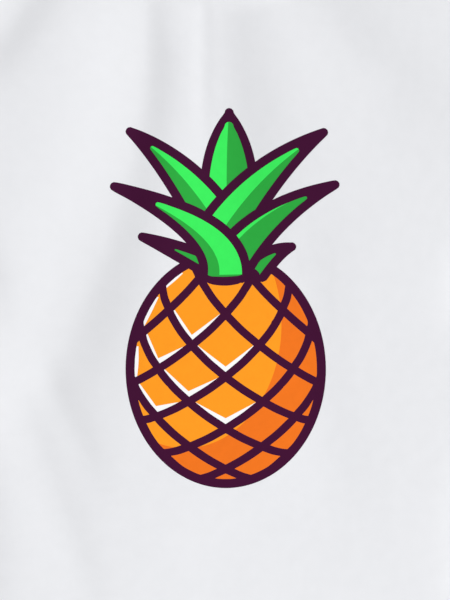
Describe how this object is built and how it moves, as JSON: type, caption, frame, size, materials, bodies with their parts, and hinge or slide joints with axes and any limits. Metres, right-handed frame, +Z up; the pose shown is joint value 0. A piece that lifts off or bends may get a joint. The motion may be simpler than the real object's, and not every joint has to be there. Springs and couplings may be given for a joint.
{
  "type": "printed short-sleeved t-shirt",
  "caption": "White short-sleeved cotton T-shirt laid flat, front up, with ribbed neck band, hemmed sleeves and body, and a plain cartoon pineapple printed in the middle of the chest.",
  "frame": {"origin": "under the middle of the shirt's outline, on the surface that it lies on", "axes": "+Z up through the front of the shirt, +Y from hem to neck, +X towards the wearer's left sleeve, which is the right-hand one in a front view"},
  "size_m": [0.8254, 0.7348, 0.005],
  "materials": {
    "white_jersey": "matte white cotton jersey, fine knit ribs",
    "white_rib": "matte white 1x1 cotton rib",
    "woven_tape": "matte white cotton herringbone tape",
    "label_satin": "soft satin weave, blank",
    "white_thread": "matte spun polyester thread",
    "plum_ink": "soft satin plastisol ink on jersey",
    "light_orange_ink": "soft satin plastisol ink on jersey",
    "dark_orange_ink": "soft satin plastisol ink on jersey",
    "light_green_ink": "soft satin plastisol ink on jersey",
    "dark_green_ink": "soft satin plastisol ink on jersey",
    "white_ink": "soft satin plastisol ink on jersey"
  },
  "bodies": {
    "root": {"back_body": "white_jersey", "back_neck_tape": "woven_tape", "front_body": "white_jersey", "hem_stitch_1": "white_thread", "hem_stitch_2": "white_thread", "left_armhole_seam": "white_thread", "left_cuff_stitch_1": "white_thread", "left_cuff_stitch_2": "white_thread", "left_shoulder_tape": "woven_tape", "left_side_seam": "white_thread", "left_sleeve_back": "white_jersey", "left_sleeve_fold": "white_jersey", "left_sleeve_front": "white_jersey", "left_underarm_seam": "white_thread", "neck_rib": "white_rib", "neck_stitch": "white_thread", "print_crown_shade": "dark_green_ink", "print_fruit_light": "light_orange_ink", "print_fruit_shade": "dark_orange_ink", "print_glint_1": "white_ink", "print_glint_2": "white_ink", "print_glint_3": "white_ink", "print_glint_4": "white_ink", "print_glint_5": "white_ink", "print_glint_6": "white_ink", "print_glint_7": "white_ink", "print_glint_8": "white_ink", "print_glint_9": "white_ink", "print_leaf_light_mid_left": "light_green_ink", "print_leaf_light_mid_right": "light_green_ink", "print_leaf_light_middle": "light_green_ink", "print_leaf_light_upper_left": "light_green_ink", "print_leaf_light_upper_right": "light_green_ink", "print_outline": "plum_ink", "right_armhole_seam": "white_thread", "right_cuff_stitch_1": "white_thread", "right_cuff_stitch_2": "white_thread", "right_shoulder_tape": "woven_tape", "right_side_seam": "white_thread", "right_sleeve_back": "white_jersey", "right_sleeve_fold": "white_jersey", "right_sleeve_front": "white_jersey", "right_underarm_seam": "white_thread", "size_label": "label_satin"}
  },
  "joints": []
}
